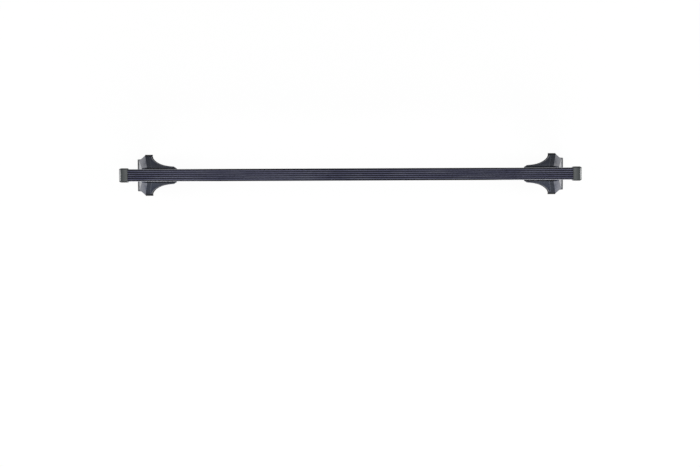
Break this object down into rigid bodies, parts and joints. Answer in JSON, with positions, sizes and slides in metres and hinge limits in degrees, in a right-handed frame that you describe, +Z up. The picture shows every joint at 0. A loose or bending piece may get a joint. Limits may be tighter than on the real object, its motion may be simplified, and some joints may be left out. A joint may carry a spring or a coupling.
{
  "type": "roof rack crossbar",
  "caption": "Ribbed coated steel crossbar for a car roof, carried by sliding feet with concave covers and bolt-drawn clamp brackets.",
  "frame": {"origin": "on the floor plane under the clamp lips, midway along and across the bar", "axes": "+X along the bar, +Y across it, +Z up, from the clamp lips to the ribbed top of the bar"},
  "size_m": [1.2, 0.11, 0.1455],
  "materials": {
    "galvanised_steel": "galvanised",
    "bar_coating": "satin moulded",
    "cap_plastic": "satin moulded",
    "shell_plastic": "fine grained",
    "gloss_cover": "polished",
    "pad_rubber": "matt",
    "base_plastic": "matt",
    "roof_rubber": "glossy",
    "bracket_steel": "black coated",
    "zinc_steel": "zinc plated"
  },
  "bodies": {
    "bar": {"bar_tube": "galvanised_steel", "bar_sheath": "bar_coating", "right_end_cap": "cap_plastic", "left_end_cap": "cap_plastic"},
    "right_foot": {"right_foot_shell": "shell_plastic", "right_inner_cover": "gloss_cover", "right_saddle_pad": "pad_rubber", "right_base_plate": "base_plastic", "right_roof_pad": "roof_rubber", "right_pad_screws": "zinc_steel", "right_saddle_bolt": "zinc_steel", "right_saddle_washer": "zinc_steel", "right_slot_nut": "zinc_steel", "right_clamp_washer": "zinc_steel"},
    "right_bracket": {"right_clamp_bracket": "bracket_steel", "right_clamp_nut": "zinc_steel"},
    "right_bolt": {"right_clamp_bolt": "zinc_steel"},
    "left_foot": {"left_foot_shell": "shell_plastic", "left_inner_cover": "gloss_cover", "left_saddle_pad": "pad_rubber", "left_base_plate": "base_plastic", "left_roof_pad": "roof_rubber", "left_pad_screws": "zinc_steel", "left_saddle_bolt": "zinc_steel", "left_saddle_washer": "zinc_steel", "left_slot_nut": "zinc_steel", "left_clamp_washer": "zinc_steel"},
    "left_bracket": {"left_clamp_bracket": "bracket_steel", "left_clamp_nut": "zinc_steel"},
    "left_bolt": {"left_clamp_bolt": "zinc_steel"}
  },
  "joints": [
    {"name": "right_foot_slide", "type": "slide", "parent": "bar", "child": "right_foot", "axis": [1, 0, 0], "range_m": [-0.109, 0.03]},
    {"name": "right_bolt_turn", "type": "hinge", "parent": "right_foot", "child": "right_bolt", "pos_m": [0.532, 0, 0.082], "axis": [-1, 0, 0], "range_deg": [-1440, 0]},
    {"name": "right_bracket_slide", "type": "slide", "parent": "right_foot", "child": "right_bracket", "axis": [1, 0, 0], "range_m": [-0.004, 0]},
    {"name": "left_foot_slide", "type": "slide", "parent": "bar", "child": "left_foot", "axis": [-1, 0, 0], "range_m": [-0.109, 0.03]},
    {"name": "left_bolt_turn", "type": "hinge", "parent": "left_foot", "child": "left_bolt", "pos_m": [-0.532, 0, 0.082], "axis": [1, 0, 0], "range_deg": [-1440, 0]},
    {"name": "left_bracket_slide", "type": "slide", "parent": "left_foot", "child": "left_bracket", "axis": [-1, 0, 0], "range_m": [-0.004, 0]}
  ],
  "couplings": [
    {"joint": "right_bolt_turn", "follows": "right_bracket_slide", "rad_per_m": 6283.2},
    {"joint": "left_bolt_turn", "follows": "left_bracket_slide", "rad_per_m": 6283.2}
  ]
}
